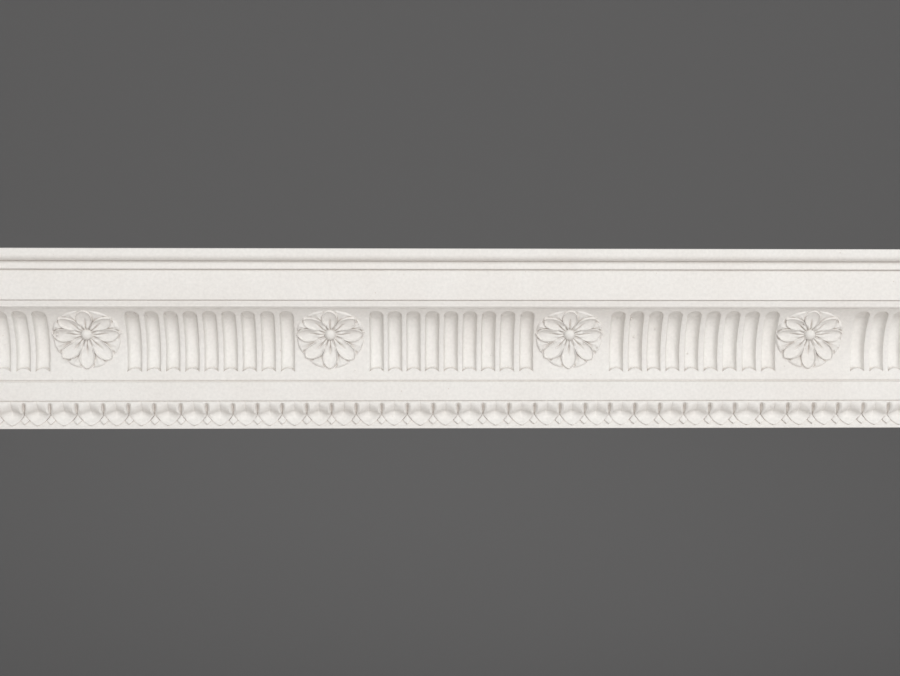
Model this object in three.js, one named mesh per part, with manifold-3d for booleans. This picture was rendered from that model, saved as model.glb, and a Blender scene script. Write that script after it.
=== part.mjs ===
// A length of cast plaster dado rail: a stepped moulding with a hollow frieze
// of flutes and rosettes above a course of leaf and dart, in one casting.
// Millimetres. X runs along the rail, Y goes into the wall and Z is up.
// The origin is the centre of the flat back, which beds on the wall.
import * as THREE from "three";
import { mergeVertices } from "three/addons/utils/BufferGeometryUtils.js";
import Module from "manifold-3d";

const wasm = await Module();
wasm.setup();

// Sizes of the pattern along the rail.
const bay_count = 4;
const flutes_per_bay = 9;
const leaves_per_two_bays = 19;

// Flutes. Their margins are measured round the hollow of the frieze.
const flute_width = 9;
const land_width = 3;
const flute_depth = 4.8;
const flute_wall_run = 1.6;
const flute_top_margin = 3.7;
const flute_foot_margin = 5.2;
const flute_foot_rise = 3;
const flute_arch_radius = 2.8;
const flute_least_floor_share = 0.3;
const flute_shoulder_depth_share = 0.85;
const flute_head_depth_share = 0.3;

// Rosettes. They were set by eye, so each stands a little off its place.
const rosette_radius = 21.4;
const rosette_side_margin = 0.6;
const rosette_top_margin = 3.2;
const rosette_foot_margin = 7.2;
const rosette_upper_share = 0.455;
const rosette_off_centre = [-0.1, -0.2, -1.7, -1];
const petal_count = 8;
const petal_stem_angle = 10;
const petal_blade_angle = 17.5;
const petal_ridge_height = 2.7;
const petal_dish_height = 1.9;
const petal_groove_height = 0.9;
const back_petal_height = 1.7;
const back_petal_share = 0.95;
const petal_edge_share = 0.97;
const petal_tip_rise = 0.4;
const stem_ridge_share = 0.75;
const stem_gap_share = 0.4;
const rosette_edge_height = 1.2;
const hub_radius = 4.4;
const hub_height = 1;
const button_radius = 3.2;
const button_height = 4.2;

// Heights of the plain members, from the cap down.
const cap_face_height = 3.9;
const cap_height = 7.4;
const cap_arris = 0.8;
const fillet_height = 5.1;
const upper_fascia_height = 18.9;
const cove_height = 4.5;
const quirk_height = 1.2;
const lower_fascia_height = 11.9;
const leaf_course_height = 16;
const foot_height = 1.8;

// The frieze is a hollow struck to one radius between two angles, measured
// from the level at which it lies nearest to the wall.
const frieze_reach = 16;
const frieze_radius = 38;
const frieze_top_angle = THREE.MathUtils.degToRad(57.1);
const frieze_foot_angle = THREE.MathUtils.degToRad(-20.5);

// How far each member stands forward of the one before it, going up and down
// from the frieze.
const cove_lip = 0.4;
const cove_step = 1.2;
const upper_fascia_step = 1.3;
const fillet_step = 2.2;
const cap_step = 1.2;
const cap_undercut = 4.4;
const quirk_depth = 1;
const lower_fascia_step = 0.6;
const roll_step = 0.4;
const hollow_depth = 8.4;
const foot_step = 3.2;

// Leaves and darts, with drops measured from the top of their course.
const leaf_shift = -2;
const leaf_thickness = 2.3;
const leaf_lobe_share = 0.5;
const roll_quirk_depth = 1.6;
const roll_crest_drop = 3.3;
const leaf_brow_drop = 6.1;
const leaf_brow_fall = 1.3;
const leaf_brow_undercut = 1.6;
const leaf_brow_round = 1.5;
const leaf_waist_drop = 11.9;
const leaf_waist_width = 9.8;
const leaf_tip_width = 2.2;
const leaf_tip_curl = 1.4;
const leaf_tip_rise = 0.3;
const leaf_edge_round = 0.4;
const slot_width = 2.4;
const slot_depth = 3.6;
const dart_thickness = 1.3;
const slot_edge_step = 0.15;

// Depth by which added forms are sunk into the body under them.
const bedding = 1;

// Sizes worked out from those above.
const flute_pitch = flute_width + land_width;
const rosette_gap = 2 * (rosette_radius + rosette_side_margin);
const bay_length = flutes_per_bay * flute_pitch + rosette_gap;
const rail_length = bay_length * bay_count;
const leaf_pitch = 2 * bay_length / leaves_per_two_bays;

const leaf_course_top = foot_height + leaf_course_height;
const lower_fascia_top = leaf_course_top + lower_fascia_height;
const frieze_bottom = lower_fascia_top + quirk_height;
const frieze_deepest = frieze_bottom - frieze_radius * Math.sin(frieze_foot_angle);
const frieze_top = frieze_deepest + frieze_radius * Math.sin(frieze_top_angle);
const upper_fascia_bottom = frieze_top + cove_height;
const fillet_bottom = upper_fascia_bottom + upper_fascia_height;
const cap_bottom = fillet_bottom + fillet_height;
const rail_height = cap_bottom + cap_height;

const frieze_top_reach = frieze_reach + frieze_radius * (1 - Math.cos(frieze_top_angle));
const cove_foot_reach = frieze_top_reach + cove_lip;
const cove_reach = cove_foot_reach + cove_step;
const upper_fascia_reach = cove_reach + upper_fascia_step;
const fillet_reach = upper_fascia_reach + fillet_step;
const cap_reach = fillet_reach + cap_step + cap_undercut;
const frieze_foot_reach = frieze_reach + frieze_radius * (1 - Math.cos(frieze_foot_angle));
const lower_fascia_reach = frieze_foot_reach + lower_fascia_step;
const roll_reach = lower_fascia_reach + roll_step;
const hollow_reach = roll_reach - hollow_depth;
const foot_reach = hollow_reach + foot_step;
const core_reach = hollow_reach - 2 * bedding;

const frieze_arc = frieze_radius * (frieze_top_angle - frieze_foot_angle);
const rosette_arc = frieze_arc - rosette_top_margin - rosette_foot_margin;
const rosette_upper_radius = rosette_arc * rosette_upper_share;
const rosette_lower_radius = rosette_arc - rosette_upper_radius;

// Facets of the frieze between the foot and the arch of its flutes.
const frieze_steps = 4;

const plaster = new THREE.MeshStandardMaterial({
  color: 0xe9e6df,
  roughness: 0.82,
  metalness: 0,
});

// A closed triangle mesh as a solid for joining and cutting.
function to_solid(geometry) {
  const bare = geometry.clone();
  for (const name of Object.keys(bare.attributes)) {
    if (name !== "position") bare.deleteAttribute(name);
  }
  const merged = mergeVertices(bare, 1e-4);
  return new wasm.Manifold(new wasm.Mesh({
    numProp: 3,
    vertProperties: new Float32Array(merged.attributes.position.array),
    triVerts: new Uint32Array(merged.index.array),
  }));
}

function to_geometry(solid) {
  const mesh = solid.getMesh();
  const geometry = new THREE.BufferGeometry();
  const position = new THREE.BufferAttribute(new Float32Array(mesh.vertProperties), 3);
  geometry.setAttribute("position", position);
  geometry.setIndex(new THREE.BufferAttribute(new Uint32Array(mesh.triVerts), 1));
  return geometry;
}

// A point given by its place along the rail, its reach and its height.
function place(along, reach, height) {
  return [along, -reach, height - rail_height / 2];
}

// A closed solid from rings of points, each ring with the same count. The
// rings are joined in order and the first and last are closed by a fan.
function skin_rings(rings) {
  const size = rings[0].length;
  const points = rings.flat();
  const index = [];
  for (let ring = 0; ring + 1 < rings.length; ring += 1) {
    for (let step = 0; step < size; step += 1) {
      const next = (step + 1) % size;
      const a = ring * size + step;
      const b = ring * size + next;
      index.push(a, b, a + size, b, b + size, a + size);
    }
  }
  const last = (rings.length - 1) * size;
  for (let step = 1; step + 1 < size; step += 1) {
    index.push(0, step + 1, step);
    index.push(last, last + step, last + step + 1);
  }
  const geometry = new THREE.BufferGeometry();
  geometry.setAttribute("position", new THREE.Float32BufferAttribute(points.flat(), 3));
  geometry.setIndex(index);
  const solid = to_solid(geometry);
  return solid;
}

// A point raised off the frieze's hollow, at an angle round its arc.
function off_frieze(along, angle, raise) {
  const arm = frieze_radius - raise;
  const reach = frieze_reach + frieze_radius - arm * Math.cos(angle);
  return place(along, reach, frieze_deepest + arm * Math.sin(angle));
}

// The angle of a point that lies so far down the frieze from its top edge.
function angle_below_top(arc) {
  return frieze_top_angle - arc / frieze_radius;
}

const flute_head_angle = angle_below_top(flute_top_margin);
const flute_foot_angle = angle_below_top(frieze_arc - flute_foot_margin);
const rosette_angle = angle_below_top(rosette_top_margin + rosette_upper_radius);

// Angles at which a flute's floor and the frieze turn, from the top of a
// flute's ramped foot to the spring of its arch.
function flute_stations() {
  const start = flute_foot_angle + flute_foot_rise / frieze_radius;
  const end = flute_head_angle - flute_arch_radius / frieze_radius;
  const stations = [];
  for (let step = 0; step <= frieze_steps; step += 1) {
    stations.push(start + (end - start) * step / frieze_steps);
  }
  return stations;
}

// Front outline of the section, from the top down, as reach and height.
function front_profile() {
  const line = [];
  line.push([cap_reach - cap_arris, rail_height]);
  line.push([cap_reach, rail_height - cap_arris]);
  const curve_top = rail_height - cap_face_height;
  const curve_steps = 4;
  for (let step = 0; step <= curve_steps; step += 1) {
    const turn = (step / curve_steps) * Math.PI / 2;
    const reach = cap_reach - cap_undercut * (1 - Math.cos(turn));
    line.push([reach, curve_top - (curve_top - cap_bottom) * Math.sin(turn)]);
  }
  line.push([fillet_reach, cap_bottom]);
  line.push([fillet_reach, fillet_bottom]);
  line.push([upper_fascia_reach, fillet_bottom]);
  line.push([upper_fascia_reach, upper_fascia_bottom]);
  line.push([cove_reach, upper_fascia_bottom]);
  const cove_middle = THREE.MathUtils.lerp(cove_reach, cove_foot_reach, 0.8);
  line.push([cove_middle, upper_fascia_bottom - cove_height / 2]);
  line.push([cove_foot_reach, frieze_top]);
  for (const angle of [frieze_top_angle, ...flute_stations().reverse(), frieze_foot_angle]) {
    const reach = frieze_reach + frieze_radius * (1 - Math.cos(angle));
    line.push([reach, frieze_deepest + frieze_radius * Math.sin(angle)]);
  }
  line.push([frieze_foot_reach - quirk_depth, frieze_bottom - quirk_height / 2]);
  line.push([lower_fascia_reach, lower_fascia_top]);
  line.push([lower_fascia_reach, leaf_course_top]);
  line.push([core_reach, leaf_course_top]);
  line.push([core_reach, foot_height]);
  line.push([foot_reach, foot_height]);
  line.push([foot_reach, 0]);
  return line;
}

// The plain run of the moulding: its section carried along the length.
function make_run() {
  const outline = new THREE.Shape();
  outline.moveTo(0, 0);
  outline.lineTo(0, rail_height);
  for (const [reach, height] of front_profile()) outline.lineTo(reach, height);
  outline.closePath();
  const geometry = new THREE.ExtrudeGeometry(outline, {
    depth: rail_length,
    bevelEnabled: false,
    steps: 1,
  });
  const out = new THREE.Vector3(0, -1, 0);
  const up = new THREE.Vector3(0, 0, 1);
  const along = new THREE.Vector3(-1, 0, 0);
  geometry.applyMatrix4(new THREE.Matrix4().makeBasis(out, up, along));
  geometry.translate(rail_length / 2, 0, -rail_height / 2);
  return to_solid(geometry);
}

// The body that a flute takes away: a groove with sloping walls that follows
// the hollow, with an arched head and a foot that ramps up to the surface.
function make_flute(along) {
  const clear = 1.5;
  const wall_slope = flute_wall_run / flute_depth;
  const station = (angle, half_width, depth) => {
    const floor_half = Math.max(half_width - wall_slope * depth, half_width * flute_least_floor_share);
    const brim_half = half_width + wall_slope * clear;
    return [
      off_frieze(along + brim_half, angle, clear),
      off_frieze(along + floor_half, angle, -depth),
      off_frieze(along - floor_half, angle, -depth),
      off_frieze(along - brim_half, angle, clear),
    ];
  };
  const half = flute_width / 2;
  const head = flute_head_angle;
  const arch = flute_arch_radius / frieze_radius;
  const ramp = flute_foot_rise / frieze_radius;
  const over = 0.4;
  const rings = [station(flute_foot_angle - ramp * over, half, -flute_depth * over)];
  for (const angle of flute_stations()) rings.push(station(angle, half, flute_depth));
  const eased = flute_arch_radius * (1 - Math.SQRT1_2);
  rings.push(station(head - arch * (1 - Math.SQRT1_2), half - eased, flute_depth * flute_shoulder_depth_share));
  rings.push(station(head, half - flute_arch_radius, flute_depth * flute_head_depth_share));
  return skin_rings(rings);
}

// Half angle of a petal at a share of the rosette's radius: a narrow stem that
// swells to the blade and closes to a point at the tip.
function petal_half_angle(share) {
  const swell = THREE.MathUtils.smoothstep(share, 0.3, 0.8);
  const close = THREE.MathUtils.smoothstep(share, 0.85, 1.05);
  const open = petal_stem_angle + (petal_blade_angle - petal_stem_angle) * swell;
  return open * (1 - 0.6 * close);
}

// Points of a rosette at a bearing and a share of the radius, bent on the hollow.
function off_rosette(along, bearing, share, raise) {
  const side = Math.cos(bearing) * share * rosette_radius;
  const rise = Math.sin(bearing) * share;
  const reach = rise > 0 ? rosette_upper_radius : rosette_lower_radius;
  const angle = rosette_angle + rise * reach / frieze_radius;
  return off_frieze(along + side, angle, raise);
}

// One ring of a rosette: over each petal it runs down from the ridge to the
// groove, up to the far ridge and down to the petal behind. The heights and the
// outline are those of the groove, the ridges and the petal behind.
function rosette_ring(along, share, heights, outline = [1, 1, 1]) {
  const sector = 360 / petal_count;
  const half = petal_half_angle(share);
  const bearings = [0, half, sector / 2, sector - half];
  const kinds = [0, 1, 2, 1];
  const ring = [];
  for (let petal = 0; petal < petal_count; petal += 1) {
    bearings.forEach((offset, line) => {
      const kind = kinds[line];
      const bearing = THREE.MathUtils.degToRad(petal * sector + offset);
      ring.push(off_rosette(along, bearing, share * outline[kind], heights[kind]));
    });
  }
  return ring;
}

function make_rosette(along) {
  const even = (height) => [height, height, height];
  const ridge = petal_ridge_height;
  const dish = petal_dish_height;
  const back = back_petal_height;
  const outline = [1, petal_edge_share, back_petal_share];
  const hub = hub_radius / rosette_radius;
  const rings = [
    rosette_ring(along, 0.02, even(-bedding)),
    rosette_ring(along, 0.5, even(-bedding)),
    rosette_ring(along, 1, even(-bedding), outline),
    rosette_ring(along, 1, even(rosette_edge_height), outline),
    rosette_ring(along, 0.9, [dish + petal_tip_rise, ridge, back], outline),
    rosette_ring(along, 0.7, [dish, ridge, back]),
    rosette_ring(along, 0.42, [petal_groove_height, ridge * stem_ridge_share, back * stem_gap_share]),
    rosette_ring(along, hub, even(hub_height)),
  ];
  const ball = new THREE.SphereGeometry(button_radius, 10, 6);
  const seat = off_frieze(along, rosette_angle, button_height - button_radius);
  ball.rotateX(Math.PI / 2);
  ball.translate(...seat);
  return skin_rings(rings).add(to_solid(ball));
}

// The leaf course, from the top down: heights, half widths of the leaf, reach
// of the leaf's face at its lobes and at its edges, and reach of the ground at
// the leaf's sides and along the middle of the slot or dart.
function leaf_rows() {
  const full = (leaf_pitch - slot_width) / 2;
  const top_reach = lower_fascia_reach - roll_quirk_depth;
  const slot_reach = roll_reach - slot_depth;
  const brow_reach = roll_reach - leaf_brow_round;
  const blade_reach = hollow_reach + leaf_thickness;
  const tip_reach = foot_reach + leaf_tip_curl;
  const round = leaf_edge_round;
  const brow = leaf_course_top - leaf_brow_drop;
  const tip_half = leaf_tip_width / 2;
  return [
    { height: leaf_course_top + bedding, half: full,
      face: [top_reach, top_reach], ground: [top_reach - round, top_reach - round] },
    { height: leaf_course_top - roll_crest_drop, half: full,
      face: [roll_reach, roll_reach - round], ground: [slot_reach, slot_reach] },
    { height: brow, half: full,
      face: [brow_reach, brow_reach + round], ground: [slot_reach - 1, slot_reach - 1] },
    { height: brow - leaf_brow_fall, half: full * 0.98,
      face: [blade_reach + leaf_brow_undercut, brow_reach - 1],
      ground: [hollow_reach + 1, hollow_reach + 1 + dart_thickness * 0.7] },
    { height: leaf_course_top - leaf_waist_drop, half: leaf_waist_width / 2,
      face: [blade_reach, blade_reach + round], ground: [hollow_reach, hollow_reach + dart_thickness] },
    { height: foot_height + leaf_tip_rise, half: tip_half,
      face: [tip_reach, tip_reach], ground: [foot_reach - 0.8, foot_reach - 0.8] },
    { height: foot_height, half: tip_half,
      face: [foot_reach, foot_reach], ground: [foot_reach - 0.5, foot_reach - 0.5] },
  ];
}

// The leaf course as one body: a section carried along the rail, whose points
// swing in and out to follow the edges of each leaf.
function make_leaf_course() {
  const rows = leaf_rows();
  const middle = leaf_pitch / 2;
  const columns = [
    (row) => [0, row.ground[1]],
    (row) => [middle - row.half - slot_edge_step, row.ground[0]],
    (row) => [middle - row.half, row.face[1]],
    (row) => [middle - row.half * leaf_lobe_share, row.face[0]],
    (row) => [middle + row.half * leaf_lobe_share, row.face[0]],
    (row) => [middle + row.half, row.face[1]],
    (row) => [middle + row.half + slot_edge_step, row.ground[0]],
  ];
  const back = core_reach - bedding;
  const rings = [];
  const leaf_count = Math.ceil((rail_length - leaf_shift) / leaf_pitch);
  for (let leaf = 0; leaf <= leaf_count; leaf += 1) {
    const slot = leaf * leaf_pitch + leaf_shift - rail_length / 2;
    for (const column of columns) {
      const ring = rows.map((row) => {
        const [offset, reach] = column(row);
        return place(slot + offset, reach, row.height);
      });
      const [offset] = column(rows[0]);
      ring.push(place(slot + offset, core_reach, foot_height - bedding));
      ring.push(place(slot + offset, back, foot_height - bedding));
      ring.push(place(slot + offset, back, leaf_course_top + bedding));
      rings.push(ring);
    }
  }
  return skin_rings(rings);
}

// The flutes of a bay fill both ends of it, with a gap for the rosette between
// them and one more flute after the rosette than before it.
const flutes_before = Math.floor(flutes_per_bay / 2);
const flutes_after = flutes_per_bay - flutes_before;
const rosette_place = flutes_before * flute_pitch + rosette_gap / 2;

function make_casting() {
  const added = [];
  const taken = [];
  for (let bay = 0; bay < bay_count; bay += 1) {
    const start = bay * bay_length - rail_length / 2;
    for (let flute = 0; flute < flutes_before; flute += 1) {
      taken.push(make_flute(start + (flute + 0.5) * flute_pitch));
    }
    for (let flute = 0; flute < flutes_after; flute += 1) {
      taken.push(make_flute(start + bay_length - (flute + 0.5) * flute_pitch));
    }
    const shift = rosette_off_centre[bay % rosette_off_centre.length];
    added.push(make_rosette(start + rosette_place + shift));
  }
  added.push(make_leaf_course());
  const body = make_run().subtract(wasm.Manifold.union(taken));
  const joined = body.add(wasm.Manifold.union(added));
  const length_cut = new THREE.BoxGeometry(rail_length, cap_reach * 3, rail_height * 2);
  return joined.intersect(to_solid(length_cut));
}

const object = new THREE.Group();
const dado_rail = new THREE.Mesh(to_geometry(make_casting()), plaster);
dado_rail.name = "dado_rail";
object.add(dado_rail);

export default object;
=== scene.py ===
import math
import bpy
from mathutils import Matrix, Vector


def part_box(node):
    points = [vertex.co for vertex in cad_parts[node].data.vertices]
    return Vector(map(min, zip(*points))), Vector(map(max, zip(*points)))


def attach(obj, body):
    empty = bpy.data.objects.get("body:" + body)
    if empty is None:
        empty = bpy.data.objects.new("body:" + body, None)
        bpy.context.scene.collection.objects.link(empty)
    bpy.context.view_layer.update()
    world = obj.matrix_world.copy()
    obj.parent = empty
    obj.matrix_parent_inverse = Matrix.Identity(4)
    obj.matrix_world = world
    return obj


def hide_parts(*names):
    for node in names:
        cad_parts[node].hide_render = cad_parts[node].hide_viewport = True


bl_info = {
    "name": "Plaster dado rail",
    "version": (1, 0, 0),
    "blender": (4, 5, 0),
    "location": "View3D > Sidebar > Dado rail",
    "description": "A fluted plaster dado rail with rosettes and a leaf-and-dart course",
    "category": "Object",
}

from types import SimpleNamespace

import bpy
import numpy as np
from mathutils import Vector

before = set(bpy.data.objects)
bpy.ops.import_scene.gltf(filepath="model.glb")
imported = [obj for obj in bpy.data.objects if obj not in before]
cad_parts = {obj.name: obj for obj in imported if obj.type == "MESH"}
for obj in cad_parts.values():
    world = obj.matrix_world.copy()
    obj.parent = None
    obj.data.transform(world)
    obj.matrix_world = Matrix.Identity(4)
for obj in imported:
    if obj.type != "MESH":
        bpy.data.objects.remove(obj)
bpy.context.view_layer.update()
node_low, node_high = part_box("dado_rail")

MM = 0.001
SEED = 7
# How far the forms run past the cut ends before they are cropped, in millimetres
OVERRUN = 2
# Height over the frieze's bottom edge in which the surface turns over, in millimetres
LIP = 1.6
# Each light's name, place in metres, width and height in metres, and power in watts
LIGHTS = (
    ("key", (0.55, -2.5, 1.1), (1.6, 1.2), 37),
    ("front", (0.3, -2.45, -0.15), (2.4, 1.2), 14),
    ("back", (0.3, 2.4, 1.4), (1.6, 1.6), 30),
)


def length(name, millimetres, description):
    """A length property whose default is given in millimetres."""
    return bpy.props.FloatProperty(
        name=name, description=description, default=millimetres * MM, unit="LENGTH", precision=5)


def share(name, value, description):
    """A plain number from nought to one."""
    return bpy.props.FloatProperty(name=name, description=description, default=value, min=0, max=1)


def turn(name, degrees, description):
    """An angle property whose default is given in degrees."""
    return bpy.props.FloatProperty(
        name=name, description=description, default=math.radians(degrees), subtype="ANGLE")


def colour(name, value, description):
    """A linear colour property."""
    return bpy.props.FloatVectorProperty(
        name=name, description=description, default=value, size=3, min=0, max=1, subtype="COLOR")


class DadoRunSizes(bpy.types.PropertyGroup):
    """Heights and reaches of the plain members; a reach is measured from the wall."""
    cap_face: length("Cap face", 3.9, "Height of the upright face of the cap")
    cap: length("Cap", 7.4, "Height of the cap")
    cap_undercut: length("Cap undercut", 4.4, "How far the cap's rounded underside runs back")
    fillet: length("Fillet", 5.1, "Height of the fillet under the cap")
    upper_fascia: length("Upper fascia", 18.9, "Height of the upper fascia")
    cove: length("Cove", 4.5, "Height of the small cove over the frieze")
    quirk: length("Quirk", 1.35, "Height of the groove under the frieze")
    lower_fascia: length("Lower fascia", 11.75, "Height of the lower fascia")
    leaf_course: length("Leaf course", 16, "Height of the leaf-and-dart course")
    foot: length("Foot", 1.8, "Height of the bottom fillet")
    frieze_reach: length("Frieze reach", 16, "Thickness behind the deepest line of the frieze")
    frieze_radius: length("Frieze radius", 38, "Radius of the hollow of the frieze")
    frieze_top: turn("Frieze top", 57.1, "Angle of the hollow at its top edge")
    frieze_foot: turn("Frieze foot", -20.5, "Angle of the hollow at its bottom edge")
    cove_lip: length("Cove lip", 0.4, "Step from the frieze to the foot of the cove")
    cove_step: length("Cove step", 1.2, "How far the cove's top stands over its foot")
    upper_fascia_step: length("Upper fascia step", 1.3, "Step from the cove to the upper fascia")
    fillet_step: length("Fillet step", 2.2, "Step from the upper fascia to the fillet")
    cap_step: length("Cap step", 1.2, "Step from the fillet to the cap's underside")
    quirk_depth: length("Quirk depth", 1.05, "Depth of the groove under the frieze")
    lower_fascia_step: length("Lower fascia step", 0.6, "Step from the frieze to the lower fascia")
    roll_step: length("Roll step", 0.4, "Step from the lower fascia to the crest of the leaves")
    hollow_depth: length("Hollow depth", 8.4, "Depth of the ground behind the leaves")
    foot_step: length("Foot step", 3.2, "Step from that ground to the bottom fillet")
    arris: length("Arris", 0.5, "Rounding of the outer edges")


class DadoFluteSizes(bpy.types.PropertyGroup):
    """Sizes of the flutes; margins are measured round the hollow."""
    per_bay: bpy.props.IntProperty(name="Flutes in a bay", description="Flutes from one rosette "
                                   "to the next", default=9, min=2)
    width: length("Width", 9, "Width of a flute at the surface")
    land: length("Land", 3, "Width of the land between two flutes")
    depth: length("Depth", 4.8, "Depth of a flute")
    top_margin: length("Top margin", 3.7, "Distance from the frieze's top edge to a flute's head")
    foot_margin: length("Foot margin", 5.2, "Distance from a flute's foot to the bottom edge")
    foot_rise: length("Foot rise", 2.2, "Height of the arched line at a flute's foot")
    foot_wall: length("Foot wall", 1.1, "Height of the steep wall at a flute's foot")
    arch: length("Arch", 4.8, "Height of the arch at a flute's head")


class DadoRosetteSizes(bpy.types.PropertyGroup):
    """Sizes of the rosettes; heights are measured from the hollow."""
    radius: length("Radius", 21.4, "Half width of a rosette")
    side_margin: length("Side margin", 0.6, "Gap between a rosette and the flutes' lands")
    top_margin: length("Top margin", 3.2, "Gap between a rosette and the frieze's top edge")
    foot_margin: length("Foot margin", 7.2, "Gap between a rosette and the frieze's bottom edge")
    upper_share: share("Upper share", 0.455, "Share of the height that lies above the button")
    petal_width: share("Petal width", 0.225, "Half width of a petal as a share of the radius")
    widest: share("Widest", 0.7, "Where a petal is widest, as a share of the radius")
    rim: length("Rim", 3, "Height of the petals' raised rims")
    rim_width: length("Rim width", 0.95, "Width of a raised rim")
    dish: length("Dish", 0.85, "Height of the dished blade of a petal")
    stem: length("Stem", 1.5, "Height of the two ridges of a petal's stem")
    groove: length("Groove", 1.25, "Depth of the groove along the stem of a petal")
    back: length("Back petal", 1.7, "Height of the petals behind")
    hub: length("Hub", 3.8, "Radius of the hollow round the button")
    button: length("Button", 3.6, "Radius of the button")
    button_rise: length("Button rise", 4.1, "Height of the top of the button")


class DadoLeafSizes(bpy.types.PropertyGroup):
    """Sizes of the leaves and darts; drops are measured from the top of their course."""
    per_two_bays: bpy.props.IntProperty(name="Leaves in two bays", description="Leaves along two "
                                        "repeats of the frieze", default=19, min=2)
    shift: length("Shift", -2, "How far the first slot lies from the left end")
    slot: length("Slot", 2, "Width of the slot between two leaves")
    slot_depth: length("Slot depth", 3.6, "Depth of the slot in the roll")
    slot_top: length("Slot top", 1.3, "Drop of the top of the slot")
    slot_foot: length("Slot foot", 8.7, "Drop at which two leaves touch under the slot")
    crest: length("Crest", 3.3, "Drop of the crest of the roll")
    quirk: length("Quirk", 1.6, "Depth of the crease over the roll")
    brow: length("Brow", 6.2, "Drop of the brow at the middle of a leaf")
    brow_fall: length("Brow fall", 2.3, "How much lower the brow lies at the leaf's edges")
    thickness: length("Thickness", 1.2, "Thickness of a leaf over its ground")
    cup: length("Cup", 1.8, "Depth of the cup in a leaf under its brow")
    curl: length("Curl", 2.1, "How far the tip of a leaf curls forward")
    tip: length("Tip", 15.6, "Drop of the tip of a leaf")
    taper: share("Taper", 0.6, "Power of the leaf's narrowing towards its tip")
    midrib: length("Midrib", 0.4, "Depth of the line along the middle of a leaf")
    valley: length("Valley", 2.9, "Depth of the roll's valley at the middle of a leaf")
    dart: length("Dart", 1.4, "Thickness of a dart over its ground")
    dart_shoulder: length("Dart shoulder", 12.4, "Drop at which a dart starts to narrow")
    dart_tip: length("Dart tip", 14.9, "Drop of the tip of a dart")


class DadoFinish(bpy.types.PropertyGroup):
    """Colours of the plaster, and the brown that is painted into its hollows as shade."""
    face: colour("Face", (0.8, 0.79, 0.765), "Colour of the clean plaster")
    warm: colour("Warm", (0.775, 0.757, 0.728), "Colour of the warmer patches")
    # Painted shade: this brown is mixed into recesses, the deepest creases and pinhole dots where
    # shade falls
    painted_shade: colour("Shade", (0.42, 0.29, 0.21), "Colour of the deepest creases")
    cut: colour("Cut", (0.86, 0.855, 0.84), "Colour of the freshly sawn ends")
    back: colour("Back", (0.74, 0.73, 0.705), "Colour of the rough back")


class DadoStage(bpy.types.PropertyGroup):
    """The floor, the backdrop and the camera."""
    camera_distance: length("Camera distance", 885, "From the lens to the frieze's deepest line")
    camera_along: length("Camera place", -31, "Place of the camera along the rail")
    camera_height: length("Camera height", 1.2, "Height of the camera over the rail's middle")
    view_centre: length("View centre", -6.9, "Place along the rail at the middle of the view")
    view_width: length("View width", 568.8, "Length of the rail that the view takes in")
    floor_drop: length("Floor drop", 1000, "From the rail's middle to the floor")
    backdrop: length("Backdrop", 3200, "From the wall plane to the backdrop")


def in_millimetres(group):
    """The values of a property group as plain numbers, lengths in millimetres."""
    values = {}
    for name, prop in group.bl_rna.properties.items():
        if prop.type == "FLOAT" and prop.unit == "LENGTH":
            values[name] = getattr(group, name) / MM
        elif prop.type in {"FLOAT", "INT"} and not getattr(prop, "is_array", False):
            values[name] = getattr(group, name)
    return SimpleNamespace(**values)


def read_sizes(scene):
    """All sizes, with those that follow from them, in millimetres."""
    run = in_millimetres(scene.dado_run)
    flute = in_millimetres(scene.dado_flutes)
    rosette = in_millimetres(scene.dado_rosettes)
    leaf = in_millimetres(scene.dado_leaves)
    run.length = (node_high[0] - node_low[0]) / MM
    run.height = (node_high[2] - node_low[2]) / MM
    run.leaf_top = run.foot + run.leaf_course
    run.lower_fascia_top = run.leaf_top + run.lower_fascia
    run.frieze_bottom = run.lower_fascia_top + run.quirk
    run.deepest = run.frieze_bottom - run.frieze_radius * math.sin(run.frieze_foot)
    run.frieze_edge = run.deepest + run.frieze_radius * math.sin(run.frieze_top)
    run.upper_fascia_bottom = run.frieze_edge + run.cove
    run.fillet_bottom = run.upper_fascia_bottom + run.upper_fascia
    run.cap_bottom = run.fillet_bottom + run.fillet
    run.frieze_arc = run.frieze_radius * (run.frieze_top - run.frieze_foot)
    radius = run.frieze_radius
    run.frieze_top_reach = run.frieze_reach + radius * (1 - math.cos(run.frieze_top))
    run.frieze_foot_reach = run.frieze_reach + radius * (1 - math.cos(run.frieze_foot))
    run.cove_foot_reach = run.frieze_top_reach + run.cove_lip
    run.cove_reach = run.cove_foot_reach + run.cove_step
    run.upper_fascia_reach = run.cove_reach + run.upper_fascia_step
    run.fillet_reach = run.upper_fascia_reach + run.fillet_step
    run.cap_reach = run.fillet_reach + run.cap_step + run.cap_undercut
    run.lower_fascia_reach = run.frieze_foot_reach + run.lower_fascia_step
    run.roll_reach = run.lower_fascia_reach + run.roll_step
    run.hollow_reach = run.roll_reach - run.hollow_depth
    run.foot_reach = run.hollow_reach + run.foot_step
    flute.pitch = flute.width + flute.land
    flute.before = flute.per_bay // 2
    rosette.gap = 2 * (rosette.radius + rosette.side_margin)
    rosette.arc = run.frieze_arc - rosette.top_margin - rosette.foot_margin
    rosette.upper = rosette.arc * rosette.upper_share
    rosette.lower = rosette.arc - rosette.upper
    run.bay = flute.per_bay * flute.pitch + rosette.gap
    run.bays = round(run.length / run.bay)
    leaf.pitch = 2 * run.bay / leaf.per_two_bays
    return run, flute, rosette, leaf


def blend(value, start, end):
    """A smooth rise from nought at start to one at end: three t squared less two t cubed."""
    t = np.clip((value - start) / (end - start), 0, 1)
    return t * t * (3 - 2 * t)


def scatter(count, salt):
    """Fixed numbers between minus one and one, the same in each run."""
    return np.random.default_rng(SEED + salt).uniform(-1, 1, count)


def place(run, along, reach, height):
    """Points in metres from places along the rail, reaches from the wall and heights."""
    along, reach, height = np.broadcast_arrays(along, reach, height)
    return np.stack([along, -reach, height - run.height / 2], axis=-1) * MM


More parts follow.
